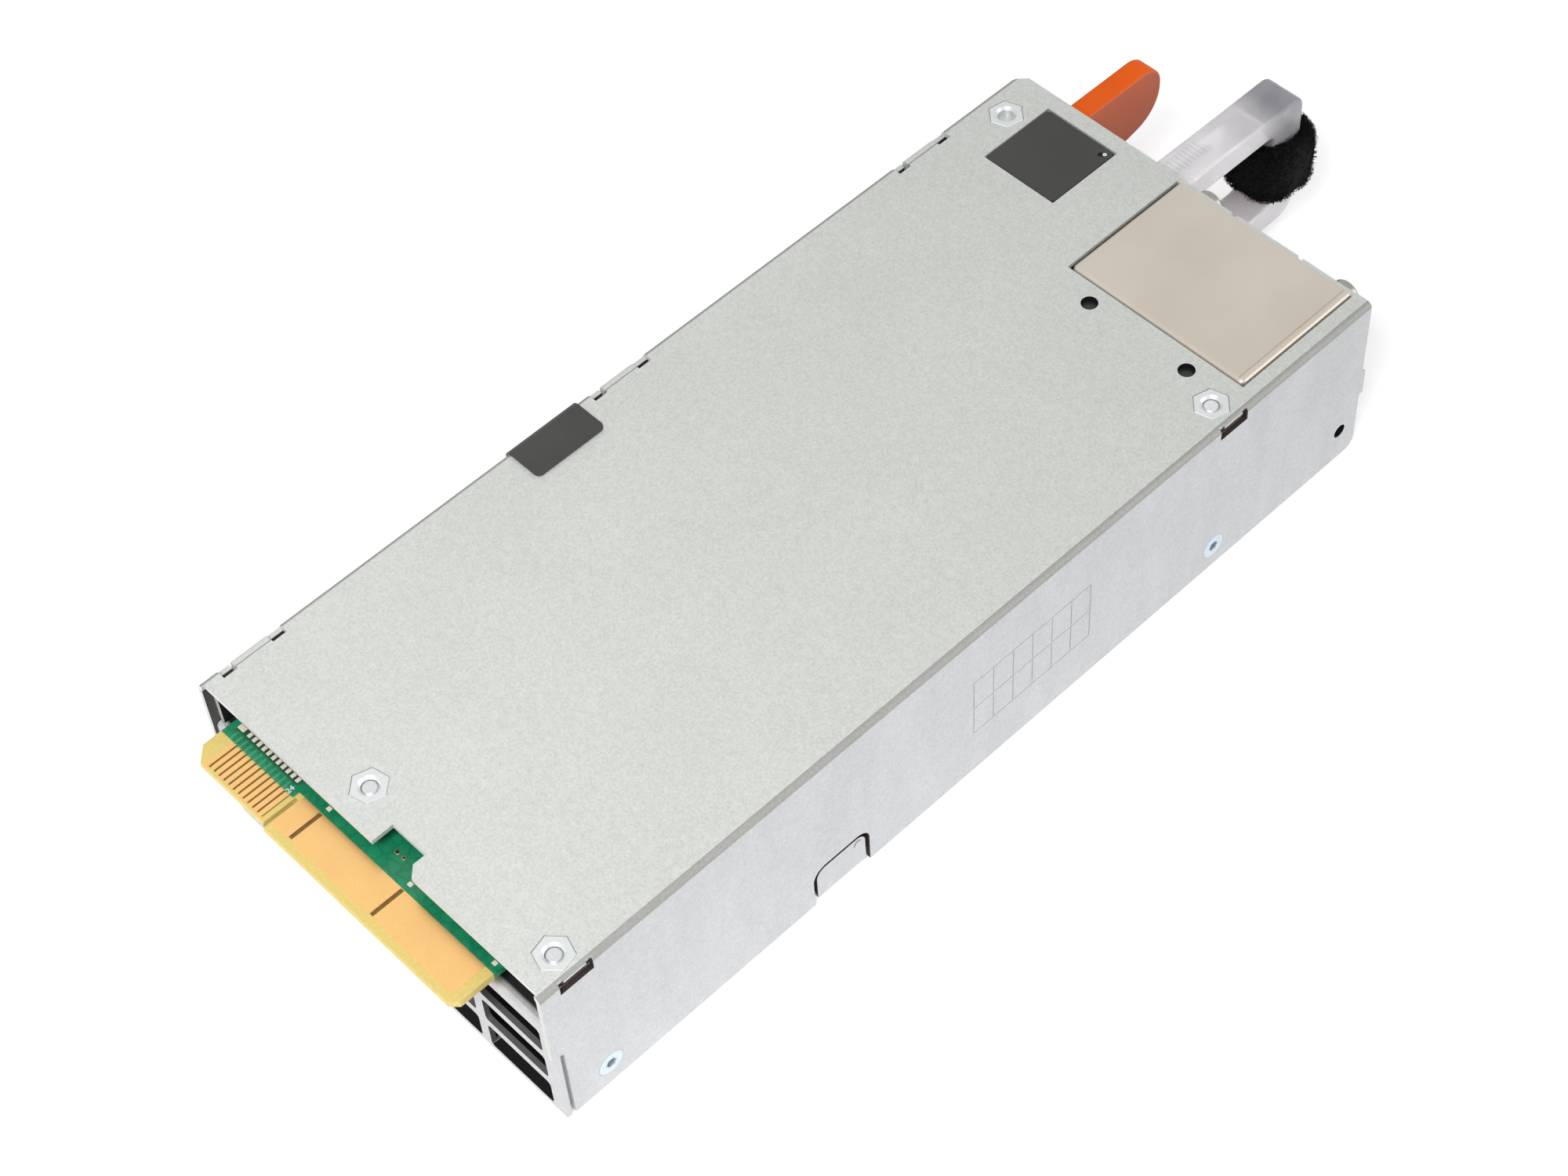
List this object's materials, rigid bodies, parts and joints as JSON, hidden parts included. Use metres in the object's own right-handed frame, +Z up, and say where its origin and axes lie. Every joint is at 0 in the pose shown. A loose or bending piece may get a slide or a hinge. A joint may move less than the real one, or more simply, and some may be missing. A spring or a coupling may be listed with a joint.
{
  "type": "server power supply",
  "caption": "Hot swap server power supply: folded steel case with card edge board, outlet grille, mains inlet, fan, pull handle and sprung release lever.",
  "frame": {"origin": "centre of the case's underside, on the plane that it rests on", "axes": "+X across the case towards the wall with the latch tooth, +Y out of the card edge end, +Z up through the roof"},
  "size_m": [0.0876, 0.2457, 0.0393],
  "materials": {
    "galvanised_steel": "zinc coated sheet with a fine spangle",
    "tinned_steel": "warm tin plate, satin",
    "inlet_plastic": "black nylon",
    "nickel": "nickel plated brass",
    "blue_zinc": "blue zinc plated screws",
    "fan_plastic": "black glass filled plastic",
    "plain_steel": "ground steel",
    "bearing_steel": "polished bearing steel",
    "lamination": "stacked motor iron",
    "foam": "closed cell foam",
    "lever_plastic": "orange nylon, satin",
    "spring_steel": "bright spring strip",
    "clear_plastic": "clear plastic with a faint violet cast",
    "strap_fabric": "black hook and loop strap",
    "board": "green mask on glass fibre board",
    "gold": "gold plated copper",
    "film": "black insulating film",
    "nut_steel": "bright zinc clinch nuts",
    "pad": "dark grey film pads",
    "capacitor_sleeve": "dark shrink sleeve",
    "toroid": "coated powder core",
    "copper": "enamelled copper wire",
    "ferrite": "dark ferrite",
    "coil_tape": "yellow coil tape",
    "aluminium": "extruded aluminium",
    "epoxy": "black moulding compound",
    "can_aluminium": "bare capacitor cans",
    "bus_copper": "bare copper bar",
    "relay_plastic": "blue relay case",
    "fuse_ceramic": "white fuse tube",
    "film_cap_plastic": "yellow capacitor case",
    "lamp": "green lamp"
  },
  "bodies": {
    "frame": {"case_shell": "galvanised_steel", "bottom_cover": "galvanised_steel", "outlet_grille": "galvanised_steel", "front_panel": "galvanised_steel", "inlet_can": "tinned_steel", "inlet_body": "inlet_plastic", "inlet_pins": "nickel", "inlet_screws": "blue_zinc", "fan_frame": "fan_plastic", "fan_bearings": "bearing_steel", "fan_stator": "lamination", "fan_gasket": "foam", "fan_screws": "blue_zinc", "latch_bracket": "galvanised_steel", "latch_pin": "plain_steel", "latch_spring": "spring_steel", "handle": "clear_plastic", "handle_screws": "blue_zinc", "cable_strap": "strap_fabric", "main_board": "board", "signal_contacts": "gold", "power_contacts": "gold", "insulator_sheet": "film", "clinch_nuts": "nut_steel", "board_screws": "blue_zinc", "wall_screws": "blue_zinc", "window_pad": "pad", "edge_pad": "pad", "bulk_capacitor": "capacitor_sleeve", "boost_choke_core": "toroid", "boost_choke_winding": "copper", "line_choke": "copper", "transformer_core": "ferrite", "transformer_winding": "coil_tape", "primary_heatsink": "aluminium", "power_transistors": "epoxy", "output_heatsink": "aluminium", "output_capacitors": "can_aluminium", "bus_bars": "bus_copper", "relay": "relay_plastic", "fuse": "fuse_ceramic", "film_capacitor": "film_cap_plastic", "control_board": "board", "control_chips": "epoxy", "lamp_board": "board", "status_lamp": "lamp"},
    "latch": {"latch_lever": "lever_plastic", "latch_arm": "spring_steel", "lever_rivets": "plain_steel"},
    "fan": {"fan_rotor": "fan_plastic", "fan_shaft": "plain_steel"}
  },
  "joints": [
    {"name": "fan_spin", "type": "hinge", "parent": "frame", "child": "fan", "pos_m": [0.0198, -0.0835, 0.0194], "axis": [0, 1, 0], "continuous": true},
    {"name": "latch_press", "type": "hinge", "parent": "frame", "child": "latch", "pos_m": [0.039, -0.05, 0.019], "axis": [0, 0, -1], "range_deg": [0, 2.8], "stiffness_Nm_per_rad": 4, "springref_deg": -2.86}
  ]
}
